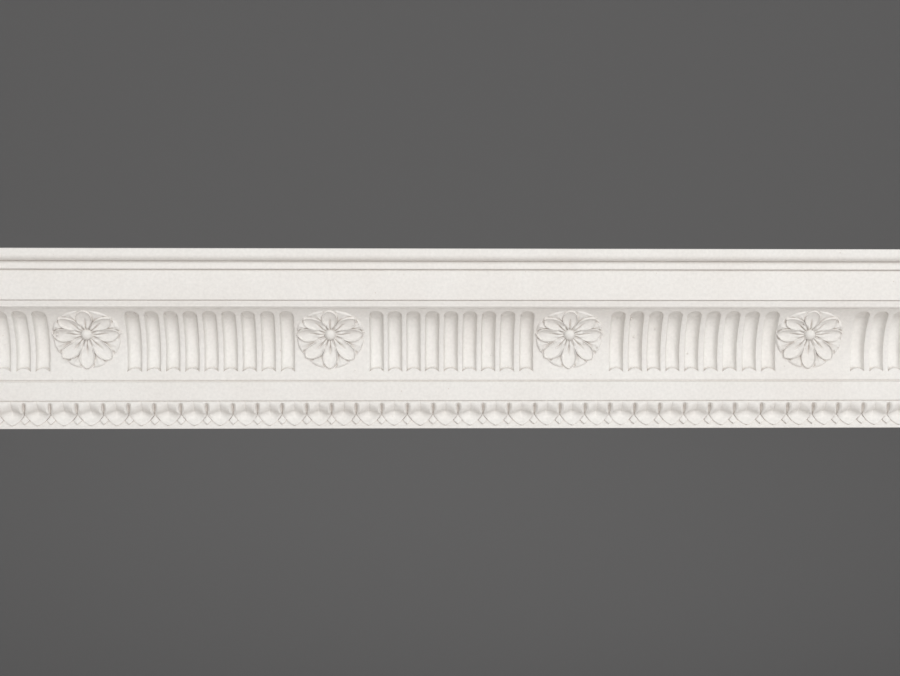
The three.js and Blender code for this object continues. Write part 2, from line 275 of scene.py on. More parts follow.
def off_frieze(run, along, arc, raise_):
    """Points raised off the hollow: arc runs down it from its top edge, and a raised
    point lies on a circle of smaller radius about the same centre."""
    angle = run.frieze_top - arc / run.frieze_radius
    arm = run.frieze_radius - raise_
    reach = run.frieze_reach + run.frieze_radius - arm * np.cos(angle)
    return place(run, along, reach, run.deepest + arm * np.sin(angle))


def signed_volume(points, triangles):
    """Volume inside a closed mesh, negative where its faces point inwards."""
    a, b, c = (points[triangles[:, corner]] for corner in range(3))
    return np.einsum("ij,ij->i", a, np.cross(b, c)).sum() / 6


def fill_mesh(mesh, points, quads, caps):
    """Put points, four-sided faces and end faces into a mesh, turned outwards."""
    triangles = np.concatenate([quads[:, [0, 1, 2]], quads[:, [0, 2, 3]]])
    fans = [np.stack([np.full(len(cap) - 2, cap[0]), cap[1:-1], cap[2:]], axis=1) for cap in caps]
    triangles = np.concatenate([triangles, *fans])
    if signed_volume(points, triangles) < 0:
        quads = quads[:, ::-1]
        caps = [cap[::-1] for cap in caps]
    corners = np.concatenate([quads.ravel(), *caps])
    sizes = np.concatenate([np.full(len(quads), 4), [len(cap) for cap in caps]]).astype(np.int32)
    starts = np.concatenate([[0], np.cumsum(sizes)[:-1]]).astype(np.int32)
    mesh.vertices.add(len(points))
    mesh.vertices.foreach_set("co", points.astype(np.float32).ravel())
    mesh.loops.add(len(corners))
    mesh.loops.foreach_set("vertex_index", corners.astype(np.int32))
    mesh.polygons.add(len(sizes))
    mesh.polygons.foreach_set("loop_start", starts)
    mesh.update(calc_edges=True)
    mesh.validate()


def skin_many(name, bodies):
    """One object from closed bodies, each an array of rings of points: every ring is closed
    on itself, neighbouring rings are joined by four-sided faces, and the end rings filled."""
    points, quads, caps, start = [], [], [], 0
    for rings in bodies:
        count, size, _ = rings.shape
        ring, step = np.meshgrid(np.arange(count - 1), np.arange(size), indexing="ij")
        here = ring * size + step
        beside = ring * size + (step + 1) % size
        faces = np.stack([here, beside, beside + size, here + size], axis=-1).reshape(-1, 4)
        points.append(rings.reshape(-1, 3))
        quads.append(faces + start)
        caps.append(np.arange(size)[::-1] + start)
        caps.append(np.arange(size) + (count - 1) * size + start)
        start += count * size
    mesh = bpy.data.meshes.new(name)
    fill_mesh(mesh, np.concatenate(points), np.concatenate(quads), caps)
    return new_object(name, mesh)


def skin_rings(name, rings):
    """One object from a single body."""
    return skin_many(name, [rings])


def new_object(name, data):
    """An object that carries a mesh, a light or a camera, linked into the scene."""
    obj = bpy.data.objects.new(name, data)
    bpy.context.scene.collection.objects.link(obj)
    return obj


def straight(start, end, steps):
    """Points from start up to but not including end, evenly spaced."""
    t = np.linspace(0, 1, steps, endpoint=False)[:, None]
    return np.array(start) * (1 - t) + np.array(end) * t


def bend(start, corner, end, steps=5):
    """A rounded corner from start to end: a quadratic curve drawn towards the corner."""
    t = np.linspace(0, 1, steps, endpoint=False)[:, None]
    start, corner, end = (np.array(point, dtype=float) for point in (start, corner, end))
    return start * (1 - t) ** 2 + 2 * corner * t * (1 - t) + end * t ** 2


def chain(start, *moves):
    """Points along straight runs and rounded corners, each from where the last one ended.
    A straight run is its end and its steps; a rounded corner is its corner, end and steps."""
    points = []
    for *corner, end, steps in moves:
        points.append(bend(start, *corner, end, steps) if corner else straight(start, end, steps))
        start = end
    return np.concatenate(points)


def run_section(run):
    """Outline of the plain members as reach and height, from the top of the back round
    the front to the bottom of the back. Behind the frieze and the leaves it lies well
    inside, because those are laid over it."""
    r = run.arris
    soft = 1.6 * r
    small = 0.8 * r
    nick = 0.3
    behind_leaves = 2
    behind_frieze = 5.6
    top, cap = run.height, run.cap_reach
    cap_face_foot = top - run.cap_face
    under, cap_foot = cap - run.cap_undercut, run.cap_bottom
    fillet, fillet_foot = run.fillet_reach, run.fillet_bottom
    fascia, fascia_foot = run.upper_fascia_reach, run.upper_fascia_bottom
    cove, cove_foot, edge = run.cove_reach, run.cove_foot_reach, run.frieze_edge
    lower, lower_top = run.lower_fascia_reach, run.lower_fascia_top
    core, leaf_top = run.hollow_reach - behind_leaves, run.leaf_top
    foot, foot_top = run.foot_reach, run.foot
    quirk = run.frieze_foot_reach - run.quirk_depth
    turns = np.linspace(0, math.pi / 2, 12, endpoint=False)
    underside = np.stack([
        under + run.cap_undercut * np.cos(turns),
        cap_face_foot - (cap_face_foot - cap_foot) * np.sin(turns)], axis=1)
    angles = np.linspace(run.frieze_top, run.frieze_foot, 8)
    sunk = run.frieze_radius + behind_frieze
    frieze = np.stack([
        run.frieze_reach + run.frieze_radius - sunk * np.cos(angles),
        run.deepest + sunk * np.sin(angles)], axis=1)
    frieze = frieze[(frieze[:, 1] < edge - 1) & (frieze[:, 1] > run.frieze_bottom + 1)]
    cap_front = chain(
        (0, top),
        ((cap - soft, top), 3),
        ((cap, top), (cap, top - soft), 5),
        ((cap, cap_face_foot), 2))
    fillet_to_frieze = chain(
        (under, cap_foot),
        ((fillet - 0.4, cap_foot + 0.1), 2),
        ((fillet - 0.1, cap_foot - 0.1), (fillet, cap_foot - r), 3),
        ((fillet, fillet_foot + soft), 2),
        ((fillet, fillet_foot), (fillet - soft, fillet_foot), 5),
        ((fascia - 0.35, fillet_foot), 2),
        ((fascia, fillet_foot - 0.1), (fascia, fillet_foot - r), 3),
        ((fascia, fascia_foot + r), 6),
        ((fascia, fascia_foot), (fascia - r, fascia_foot), 4),
        ((cove - 0.5, fascia_foot), 2),
        ((cove, fascia_foot - 0.1), (cove, fascia_foot - 0.4), 3),
        ((cove_foot + 0.75, edge + run.cove * 0.45), (cove_foot, edge + nick), 6),
        ((cove_foot, edge), (cove_foot - 0.4, edge - 0.1), 3),
        ((run.frieze_top_reach - 4.5, edge - 0.2), 2))
    behind_quirk = np.array([(run.frieze_foot_reach - 4, run.frieze_bottom + 0.1),
                             (quirk - nick, run.frieze_bottom - 0.2)])
    quirk_to_back = chain(
        (quirk, run.frieze_bottom - run.quirk / 2),
        ((run.frieze_foot_reach - run.quirk_depth * 0.8, lower_top), (lower - r, lower_top), 3),
        ((lower, lower_top), (lower, lower_top - r), 5),
        ((lower, leaf_top + small), 4),
        ((lower, leaf_top), (lower - small, leaf_top), 4),
        ((core, leaf_top), 2),
        ((core, foot_top), 2),
        ((foot - nick, foot_top), 2),
        ((foot, foot_top), (foot, foot_top - nick), 3),
        ((foot, nick), 2),
        ((foot, 0), (foot - nick, 0), 3),
        ((0, 0), 2),
        ((0, top), 4))
    return np.concatenate([cap_front, underside, fillet_to_frieze, frieze, behind_quirk,
                           quirk_to_back])


def make_run(run):
    """The plain members: their section carried along the rail, a little past its ends."""
    section = run_section(run)
    half = run.length / 2 + OVERRUN
    along = np.linspace(-half, half, 5)[:, None]
    rings = place(run, along, section[None, :, 0], section[None, :, 1])
    return skin_rings("moulding_run", rings)


# Grid lines across half a flute, as shares of its half width
FLUTE_LINES = (0, 0.36, 0.6, 0.76, 0.88, 0.95, 1.0)
# How far the flutes stand from even spacing, at places along the rail, in millimetres
FLUTE_DRIFT = ((-290, -0.8), (-262, -0.2), (-206, 1.05), (-54, 0.8), (-42, 0.35), (-10, -0.5),
               (30, -0.95), (98, 0.4), (150, 0.3), (175, 0.9), (195, 1.6), (250, 2.6), (290, 2.8))


def frieze_columns(run, flute):
    """Columns of the frieze's grid: the middle line each belongs to, its place across
    that flute from minus one to one, how far it lies beyond the flute's edge, and the
    number of the flute."""
    half = np.array(FLUTE_LINES)
    lines = np.concatenate([-half[:0:-1], half])
    starts = np.arange(run.bays) * run.bay - run.length / 2
    groups = np.concatenate([
        (np.arange(flute.before) + 0.5) * flute.pitch,
        run.bay - (np.arange(flute.per_bay - flute.before)[::-1] + 0.5) * flute.pitch])
    centres = (starts[:, None] + groups).ravel()
    places, drifts = np.array(FLUTE_DRIFT).T
    centres = centres + np.interp(centres, places, drifts)
    middle, across, beyond, number = [], [], [], []
    land_edge = 0.45
    for index, centre in enumerate(centres):
        following = centres[index + 1] if index + 1 < len(centres) else centre
        gap = following - centre - flute.pitch
        steps = max(int(gap / 4), 1) if gap > 1 else 0
        after = flute.land / 2 + np.linspace(0, 1, steps + 1) * max(gap, 0)
        middle.append(np.full(len(lines) + 2 + len(after), centre))
        across.append(np.concatenate([[-1], lines, np.ones(1 + len(after))]))
        beyond.append(np.concatenate([[-land_edge], 0 * lines, [land_edge], after]))
        number.append(np.full(len(lines) + 2 + len(after), index))
    return [np.concatenate(part)[:, None] for part in (middle, across, beyond, number)], centres


def make_frieze(run, flute):
    """The hollow with its flutes, as a slab over the run. Across a flute the depth is a
    power of one less a power of the distance from its middle, so the floor is gently
    round and the walls steep. The head is an arch: the grid's rows follow it. At the foot
    the rows follow an arched crease, under which a steep wall rises to the surface."""
    (middle, across, beyond, number), centres = frieze_columns(run, flute)
    size = np.abs(across)
    bend_power = 2.1
    head = flute.top_margin + flute.arch * (1 - (1 - size ** bend_power) ** (1 / bend_power))
    foot = run.frieze_arc - flute.foot_margin
    steepness = np.where(across > 0, 3.3, 6.0)
    hollow = np.clip(1 - size ** steepness, 0, 1) ** 0.85
    edge = foot - flute.foot_rise * (1 - size ** 2)
    crease = edge - 0.02 - flute.foot_wall * np.sqrt(hollow)

    over = -1.2
    head_wall = 0.8
    margin = over + (head - over) * np.array([0, 0.35, 0.7, 0.94])
    below = head + np.array([0, 0.1, 0.28, 0.52, 0.8])
    shaft_top, shaft_foot = head + head_wall, crease - 1.1
    shaft = shaft_top + (shaft_foot - shaft_top) * np.linspace(0, 1, 12)[1:]
    gather = crease + np.array([-0.45, -0.15, 0])
    ramp = crease + (edge - crease) * np.array([0.12, 0.4, 0.7, 0.9, 1.0])
    rest = edge + (run.frieze_arc - LIP - edge) * np.array([0.3, 1.0])
    lip_rows = run.frieze_arc + np.array([-1.4, -0.9, -0.5, -0.2, 0]) + 0 * head
    arc = np.concatenate([margin, below, shaft, gather, ramp, rest, lip_rows], axis=1)

    deep = flute.depth * (1 + 0.05 * scatter(len(centres), 2)[number])
    floor = deep * hollow * (1 - 0.32 * (1 - blend(arc, head, head + 7)))
    floor = floor * (1 - 0.25 * blend(arc, crease - 8, crease))
    from_head = np.clip((arc - head) / head_wall, 0, 1)
    end_wall = (1 - (1 - from_head) ** 3) ** 0.7
    up_ramp = np.clip((arc - crease) / (edge - crease), 0, 1)
    sunk = floor * end_wall * (1 - up_ramp)
    scored = np.exp(-((arc - crease) / 0.3) ** 2)
    sunk = sunk + 0.35 * scored * hollow ** 0.5
    lip = np.clip(arc - (run.frieze_arc - LIP), 0, 0.92 * LIP)
    rounded = 0.45 * (LIP - np.sqrt(LIP ** 2 - lip ** 2))
    sunk = sunk + rounded
    edge_round = 0.2 * np.exp(-(beyond / 0.3) ** 2) * (size == 1)
    inside = (arc > head - 0.2) & (arc < foot - 0.1)
    sunk = sunk + edge_round * inside

    width = flute.width / 2 + 0.1 * scatter(len(centres), 1)[number]
    along = middle + across * width + beyond + 0.25 * scatter(len(centres), 3)[number] * (
        arc / run.frieze_arc - 0.5)
    wave = 0.07 * np.sin(arc * 0.75 + number * 2.1) + 0.05 * np.sin(arc * 1.9 + number * 1.3)
    along = along + wave * np.clip((size - 0.6) / 0.4, 0, 1) * (np.abs(beyond) < 1)
    end = run.length / 2 + OVERRUN
    first = np.concatenate([[-end + 0 * arc[0]], along, [end + 0 * arc[0]]])
    sunk = np.concatenate([sunk[:1] * 0, sunk, sunk[-1:] * 0])
    arc = np.concatenate([arc[:1], arc, arc[-1:]])
    sunk[0] = sunk[-1] = rounded[0]
    front = off_frieze(run, first, arc, -sunk)
    back_arc = np.concatenate([[run.frieze_arc - 0.1], np.linspace(run.frieze_arc - 0.4, over, 5)])
    back_raise = np.concatenate([[-2.2], np.full(5, -6.4)])
    back_along = np.repeat(first[:, -1:], len(back_arc), axis=1)
    back = off_frieze(run, back_along, back_arc[None, :], back_raise[None, :])
    return skin_rings("fluted_frieze", np.concatenate([front, back], axis=1))


# The petals' bearings, the turns of their tips, both in degrees, and their lengths as shares
PETAL_BEARINGS = (3, 45.5, 90.5, 133, 176.5, 229, 269.5, 314.5)
PETAL_TIP_TURNS = (0, -4, 0, 7, 2, -6, 0, -1)
PETAL_LENGTHS = (0.95, 0.965, 1, 0.965, 0.965, 0.98, 1, 0.99)
# Grid lines across half a petal, and from its edge to the middle of the petal behind
PETAL_LINES = (0, 0.1, 0.22, 0.38, 0.54, 0.68, 0.79, 0.88, 0.95, 1.0)
BACK_LINES = (1.06, 1.2, 1.42, 1.66, 1.86)
# How far each rosette stands from the middle of its gap, in millimetres
ROSETTE_OFF_CENTRE = (-0.1, -0.2, -1.7, -1.0)


def make_rosette(run, rosette, along, number):
    """A rosette bent onto the hollow. A petal's half width is a product of two powers, of
    the distance from the button and of the distance from the tip. Its blade is dished
    between two raised rims of even width, and its stem is a pair of ridges with a groove
    between them. Eight more petals show between them, each with a ridge, and notches part
    the tips. Grid lines keep their place across a petal, so the rims stay crisp."""
    lines = np.concatenate([PETAL_LINES, BACK_LINES])
    across = np.concatenate([-lines[:0:-1], lines, [2.0]])
    bearings = np.array(PETAL_BEARINGS)
    turns = np.array(PETAL_TIP_TURNS)[None, :, None]
    ends = np.array(PETAL_LENGTHS)[None, :, None]
    hub = rosette.hub / rosette.radius
    stem_start = hub + 0.03
    q = np.concatenate([np.linspace(hub, 0.3, 7), np.linspace(0.335, 0.8, 13),
                        np.linspace(0.825, 0.985, 11), [1.0]])[:, None, None]
    t = across[None, None, :]
    size = np.abs(t)
    fall = 0.64
    grow = fall * rosette.widest / (1 - rosette.widest)
    near = np.clip(q / ends, 0, 0.9985)
    breadth = rosette.petal_width * (near / rosette.widest) ** grow
    breadth = breadth * ((1 - near) / (1 - rosette.widest)) ** fall
    half = np.degrees(np.arcsin(breadth / q))
    axis = bearings[None, :, None] + turns * blend(q, 0.45, 1)
    following = np.roll(axis, -1, axis=1) % 360
    room_after = (following - axis) % 360 / 2
    room_before = np.roll(room_after, 1, axis=1)
    room = np.where(t < 0, room_before, room_after)
    stem = room * 0.88 * (1 - blend(q, 0.3, 0.5))
    half = np.clip(half, stem, room * 0.965)
    outside = half + (size - 1) * (room - half)
    bearing = np.radians(axis + np.sign(t) * np.where(size <= 1, size * half, outside))

    half_mm = np.radians(half) * q * rosette.radius
    from_rim = (1 - size) * half_mm
    rim_width = rosette.rim_width * (0.6 + 0.4 * blend(q, 0.25, 0.55))
    rim_shape = blend(from_rim / rim_width, 1, 0.35)
    rim_round = 0.2 * blend(from_rim, 0.25, 0)
    rim = rosette.rim * (0.3 + 0.7 * blend(q, stem_start, 0.32)) * (1 - 0.36 * blend(q, 0.74, 1.0))
    dish = rosette.dish * (0.35 + 0.65 * blend(q, stem_start, 0.4)) * (1 - 0.2 * blend(q, 0.8, 1))
    petal = dish + (rim - dish) * (0.35 * size ** 2.2 + 0.65 * rim_shape) - rim_round
    paired = rosette.stem * np.clip(np.sin(math.pi * size ** 0.85), 0, 1) ** 0.8 + 0.75
    paired = paired * (0.55 + 0.45 * blend(q, hub, 0.32))
    petal = paired + (petal - paired) * blend(q, 0.3, 0.56)
    groove = rosette.groove * (1 - blend(q, 0.5, 0.68)) * blend(q, 0.3, 0.42)
    petal = petal - groove * (1 - blend(size * half_mm, 0.05, 0.6))
    petal = petal + 0.15 * (1 - blend(size * half_mm, 0.1, 0.5)) * blend(q, 0.72, 0.8)

    outer = np.clip(size - 1, 0, 1)
    back_tip = 0.985 - 0.11 * (1 - blend(outer, 0.05, 0.5))
    ridge = 0.55 * blend(outer, 0.62, 1) * blend(q, 0.45, 0.6)
    border = 0.35 * np.exp(-((q - back_tip + 0.045) / 0.022) ** 2)
    back = rosette.back * (0.84 + 0.16 * blend(q, 0.35, 0.62)) * (1 - 0.3 * blend(q, 0.8, 0.97))
    back = back + ridge + border * (1 - 0.7 * blend(np.sin(bearing) * q, 0.2, 0.7))
    back = back - 0.5 * (1 - blend(outer, 0.05, 0.5)) * blend(q, 0.45, 0.6)
    notch = blend(q, back_tip - 0.01, back_tip + 0.022)
    back = back * (1 - notch) - 0.1 * notch
    height = np.where(size <= 1, petal, back)
    height = height * (1 - 0.4 * blend(np.sin(bearing) * q, 0.35, 1))
    height = height + 0.12 * scatter(8, 20 + number)[None, :, None] * blend(q, 0.4, 0.9)

    rings = len(q)
    bearing = bearing.reshape(rings, -1)
    height = height.reshape(rings, -1)
    distance = np.broadcast_to(q[:, :, 0], bearing.shape)

    def bend_on(ring, distance, raise_):
        """Points on the hollow at shares of the radius, raised off it."""
        side = np.cos(bearing[ring]) * distance * rosette.radius
        rise = np.sin(bearing[ring]) * distance
        arm = np.where(rise > 0, rosette.upper, rosette.lower)
        arc = rosette.top_margin + rosette.upper - rise * arm
        return off_frieze(run, along + side, arc, raise_)

    top = bend_on(slice(None), distance, height)
    edge = distance[-1:]
    last = slice(-1, None)
    wall = bend_on(last, edge * 1.003, height[-1:] * 0.5)
    foot = bend_on(last, edge * 1.006, 0 * edge - 0.1)
    sunk = [bend_on(last, edge * part, 0 * edge - 1.6) for part in (1.0, 0.6, 0.15)]
    return np.concatenate([top, wall, foot, *sunk])


def make_ball(centre, radius, turns=20, levels=12):
    """Rings of a ball about a centre, from its bottom to its top."""
    level = np.linspace(0.04, math.pi - 0.04, levels)[:, None]
    around = np.linspace(0, 2 * math.pi, turns, endpoint=False)[None, :]
    x = radius * np.sin(level) * np.cos(around)
    z = radius * np.sin(level) * np.sin(around)
    y = -radius * np.cos(level) + 0 * around
    return np.stack([x, y, z], axis=-1) + np.asarray(centre)


# Beads of plaster: place along the rail, height, radius and raise, in millimetres
BEADS = (
    (-252, 60.3, 0.8, 2.3), (-203.6, 70.7, 0.5, -2.2), (19, 46.3, 0.5, 0), (-285.8, 53.2, 0.5, 0),
    (107.5, 66.8, 0.8, -4.4), (110.3, 56.8, 0.6, -4), (123.4, 61.4, 0.55, -4), (145, 47, 0.5, -4.4),
    (98.9, 67.5, 0.4, -3.6), (-243.5, 31.2, 0.45, 0), (-235.5, 31.2, 0.5, 0), (-146.6, 31, 0.5, 0),
    (-236.6, 12.8, 0.5, -2.4), (-207.7, 10.4, 0.4, -3.6), (-160.5, 61.5, 0.6, -4.4),
    (-138.6, 62.8, 0.5, -4.2), (171.5, 41.5, 0.45, 0), (64, 39, 0.4, 0), (-96.5, 58, 0.4, 0),
    (206, 39.5, 0.45, 0), (-67, 36.8, 0.45, 0), (55, 55.1, 0.55, 2.1), (77.8, 54.2, 0.5, 2.1),
    (85, 53.5, 0.6, 1.7), (83.7, 48.2, 0.45, 1.7), (50.1, 49.4, 0.4, 1.6))


# Pits in three of the rosettes, in the rims and over one button, given like the beads
PITS = (
    (215.7, 66.4, 0.55, 1.2), (219.4, 65.1, 0.5, 1.2), (221.9, 63.9, 0.5, 1.1),
    (241.2, 67.2, 0.7, 0.9), (241.8, 61.9, 0.7, 1), (242.1, 55, 0.7, 1.2), (239.6, 51.3, 0.6, 1.4),
    (237.7, 46.3, 0.7, 1.1), (86, 67.5, 0.7, 0.9), (88.5, 63, 0.7, 1), (89.5, 53, 0.7, 1.2),
    (86, 51.3, 0.6, 1.4), (86, 46, 0.7, 1.1), (-64.4, 66.6, 0.7, 0.9), (-61.6, 60.6, 0.6, 1),
    (-62.5, 53, 0.6, 1.2), (-76.1, 54.7, 0.5, 1.3), (-65.7, 46, 0.7, 1.1))


def small_balls(run, table):
    """Small balls from a table of places along the rail, heights, radii, and how far the
    middle of a ball lies off the hollow, or off the lower fascia for those below it."""
    bodies = []
    for along, height, radius, raise_ in table:
        if height > run.frieze_bottom:
            angle = math.asin((height - run.deepest) / run.frieze_radius)
            arc = (run.frieze_top - angle) * run.frieze_radius
            seat = off_frieze(run, along, arc, raise_)
        else:
            seat = place(run, along, run.lower_fascia_reach + raise_, height)
        bodies.append(make_ball(seat, radius * MM, 10, 8))
    return bodies


# Grid lines across half a leaf, as shares of its half width
FACE_LINES = (0, 0.06, 0.2, 0.42, 0.64, 0.82, 0.93, 1.0)
# How far the slots stand from even spacing, at places along the rail, in millimetres
LEAF_DRIFT = ((-320, -0.4), (-262, 0.2), (-226, 1.4), (-195, 1.1), (-150, 2.6), (-98, 0.75),
              (-58, -0.35), (-20, 0.45), (20, -0.3), (60, 0.8), (95, 0), (140, -0.15),
              (175, -0.4), (190, 0.8), (215, 2.3), (237, 1.65), (255, 2.1), (320, 2))


def make_leaf_course(run, leaf):
    """The leaves and darts, as a slab over the run. The roll is a parabola about its
    crest, with a valley along the middle of each leaf. Under the arched brow the blade
    turns back into the hollow and curls out to its tip; its half width is a power of the
    distance from the tip. A dart fills the space between two blades down to its shoulder
    and ends in a point. Grid lines follow these edges."""
    drop = np.concatenate([
        [-1.0, -0.3, 0.1], (0.5, 0.9, 1.15, 1.35, 1.6, 1.95, 2.4), np.linspace(3.2, 5.2, 3),
        np.linspace(6.0, 9.4, 9), np.linspace(9.9, leaf.dart_shoulder, 5),
        np.linspace(leaf.dart_shoulder + 0.35, leaf.tip + 0.08, 8), [run.leaf_course]])
    d = drop[:, None]
    seam = 0.12
    full = leaf.pitch / 2 - seam
    narrow = np.clip((leaf.tip - drop) / (leaf.tip - leaf.slot_foot), 0.0004, 1) ** leaf.taper
    down_slot = np.clip((drop - leaf.slot_top) / (leaf.slot_foot - leaf.slot_top), 0, 1)
    opened = np.clip(np.sin(math.pi * down_slot ** 0.85), 0, 1) ** 0.6
    gap = np.where(drop < leaf.slot_foot, seam + (leaf.slot / 2 - seam) * opened,
                   leaf.pitch / 2 - full * narrow)
    half = leaf.pitch / 2 - gap

    lines = np.array(FACE_LINES)
    face = np.concatenate([-lines[:0:-1], lines])
    t = face[None, :]
    size = np.abs(t)
    brow = leaf.brow + leaf.brow_fall * size ** 1.8
    crest_bow = (d - leaf.crest) / leaf.crest
    roll = run.roll_reach - leaf.quirk * np.clip(-crest_bow, 0, 1.4) ** 2
    roll = roll - 2.3 * np.clip((d - leaf.crest) / (brow - leaf.crest), 0, 1.2) ** 2
    roll = roll - leaf.valley * (1 - blend(size, 0, 0.85)) * blend(d, 0.2, 5.2)
    roll = roll - 1.5 * blend(size, 0.78, 1.02) ** 1.5 * blend(d, leaf.slot_top - 0.6, 2.4)
    lowest = run.hollow_reach + 1
    curl_top, curl_height, curl_power = 8.5, 7.5, 2.2
    curl = leaf.curl * np.clip((d - curl_top) / curl_height, 0, 1) ** curl_power
    blade = lowest + leaf.thickness + curl
    blade = blade - 0.35 * size ** 3 * blend(d, 9, 12)
    blade = blade - leaf.cup * (1 - size ** 2) * (1 - blend(d, 9.5, 14))
    under_brow = np.clip((d - brow + 0.1) / 6.2, 0, 1)
    turned = 1 - (1 - under_brow) ** 1.7
    surface = roll * (1 - turned) + blade * turned
    rib_width = 0.06 + 0.1 * blend(d, 6, 9)
    rib = leaf.midrib * (1 - blend(size, 0, rib_width)) * (1 - 0.8 * blend(d, 7, 10))
    surface = surface - rib * blend(d, 0.0, 0.6)

    above = drop < leaf.dart_shoulder
    on_dart = drop <= leaf.dart_tip
    widest = np.interp(leaf.dart_shoulder, drop, gap)
    to_tip = np.clip((leaf.dart_tip - drop) / (leaf.dart_tip - leaf.dart_shoulder), 0, 1)
    dart_half = np.where(above, gap, np.maximum(widest * to_tip ** 0.8, 0.06))
    dart_half = np.minimum(dart_half, gap - 0.04)
    slot_floor = run.roll_reach - leaf.slot_depth
    low = lowest + curl[:, 0]
    ground = slot_floor + (low - slot_floor) * blend(drop, 6.9, 10.2)
    closed = 1 - blend(drop, leaf.slot_top - 0.2, leaf.slot_top + 2.6)
    ground = ground * (1 - closed) + (roll[:, -1] - 0.1) * closed
    body = leaf.dart * blend(drop, 8.4, 9.8)
    ridge_body = body + 0.4 * blend(drop, 9.2, 11)
    shaft = -1.1 * blend(drop, leaf.slot_top + 0.6, leaf.slot_top + 1.6) * (1 - blend(drop, 7.4, 8.9))
    edge = gap - np.minimum(0.1, gap * 0.3)
    beside = np.where(above, gap - 0.45 * np.minimum(0.3, gap), 0.5 * (gap + dart_half))
    flank = np.minimum(dart_half, beside * 0.97)
    inner = flank * np.where(drop < leaf.slot_foot, 0.3, 0.45)
    offsets = np.stack([edge, beside, flank, flank * 0.85, inner, 0 * gap], axis=1)
    outside = body * 0.1 * above
    levels = np.stack([outside, outside, body * 0.7 * above, body * on_dart,
                       ridge_body * 0.97 * on_dart + 0.5 * shaft,
                       ridge_body * on_dart + shaft], axis=1)
    spaces = ground[:, None] + levels

    count = int(math.ceil((run.length + 2 * OVERRUN) / leaf.pitch)) + 3
    even = leaf.shift - run.length / 2 + (np.arange(count) - 1.5) * leaf.pitch + leaf.pitch / 2
    places, drifts = np.array(LEAF_DRIFT).T
    slots = even + np.interp(even, places, drifts) + 0.12 * scatter(count, 5)
    core = run.hollow_reach - 2.5
    height = run.leaf_top - drop
    tips = 0.25 * scatter(count, 6)
    depth = 0.15 * scatter(count, 7)
    columns = []
    for number in range(count - 1):
        left, right = slots[number], slots[number + 1]
        stretch = (right - left) / leaf.pitch
        middle = (left + right) / 2 + tips[number] * blend(drop, 7, 14)
        for line in range(offsets.shape[1])[::-1]:
            columns.append((left + offsets[:, line], spaces[:, line]))
        reach_play = depth[number] * blend(drop, 1, 5)
        for line in range(len(face)):
            columns.append((middle + face[line] * half * stretch, surface[:, line] + reach_play))
        for line in range(offsets.shape[1] - 1):
            columns.append((right - offsets[:, line], spaces[:, line]))
    along = np.array([column[0] for column in columns])
    reach = np.array([column[1] for column in columns])
    reach[:, -1] = run.foot_reach - 0.35
    front = place(run, along, reach, height[None, :])
    ends = along[:, :1]
    sole = run.foot - 0.9
    foot_back = place(run, ends, run.foot_reach - 1.5, sole)
    back_low = place(run, ends, core, sole)
    back_high = place(run, ends, core, run.leaf_top + 1.0)
    return skin_rings("leaf_course", np.concatenate([front, foot_back, back_low, back_high], axis=1))


def combine(target, tool, operation):
    """Join, cut or crop the target by the tool's body and delete the tool."""
    modifier = target.modifiers.new("combine", "BOOLEAN")
    modifier.solver = "MANIFOLD"
    modifier.operation = operation
    modifier.object = tool
    evaluated = target.evaluated_get(bpy.context.evaluated_depsgraph_get())
    mesh = bpy.data.meshes.new_from_object(evaluated)
    target.modifiers.clear()
    old = target.data
    target.data = mesh
    bpy.data.meshes.remove(old)
    spare = tool.data
    bpy.data.objects.remove(tool)
    bpy.data.meshes.remove(spare)
    if len(mesh.polygons) == 0:
        raise RuntimeError("nothing is left after " + operation)


class DADO_OT_run(bpy.types.Operator):
    """Make the plain members of the rail"""
    bl_idname = "dado.run"
    bl_label = "Moulding run"

    def execute(self, context):
        run, _, _, _ = read_sizes(context.scene)
        make_run(run)
        return {"FINISHED"}


class DADO_OT_frieze(bpy.types.Operator):
    """Make the hollow frieze with its flutes"""
    bl_idname = "dado.frieze"
    bl_label = "Fluted frieze"

    def execute(self, context):
        run, flute, _, _ = read_sizes(context.scene)
        make_frieze(run, flute)
        return {"FINISHED"}


class DADO_OT_rosettes(bpy.types.Operator):
    """Make the rosettes and their buttons"""
    bl_idname = "dado.rosettes"
    bl_label = "Rosettes"

    def execute(self, context):
        run, flute, rosette, _ = read_sizes(context.scene)
        flowers, buttons = [], []
        for bay in range(run.bays):
            start = bay * run.bay - run.length / 2
            along = start + flute.before * flute.pitch + rosette.gap / 2 + ROSETTE_OFF_CENTRE[bay]
            flowers.append(make_rosette(run, rosette, along, bay))
            seat = off_frieze(run, along, rosette.top_margin + rosette.upper,
                              rosette.button_rise - rosette.button)
            buttons.append(make_ball(seat, rosette.button * MM))
        skin_many("rosettes", flowers)
        skin_many("buttons", buttons + small_balls(run, BEADS))
        skin_many("pits", small_balls(run, PITS))
        return {"FINISHED"}


class DADO_OT_leaves(bpy.types.Operator):
    """Make the leaf-and-dart course"""
    bl_idname = "dado.leaves"
    bl_label = "Leaf course"

    def execute(self, context):
        run, _, _, leaf = read_sizes(context.scene)
        make_leaf_course(run, leaf)
        return {"FINISHED"}


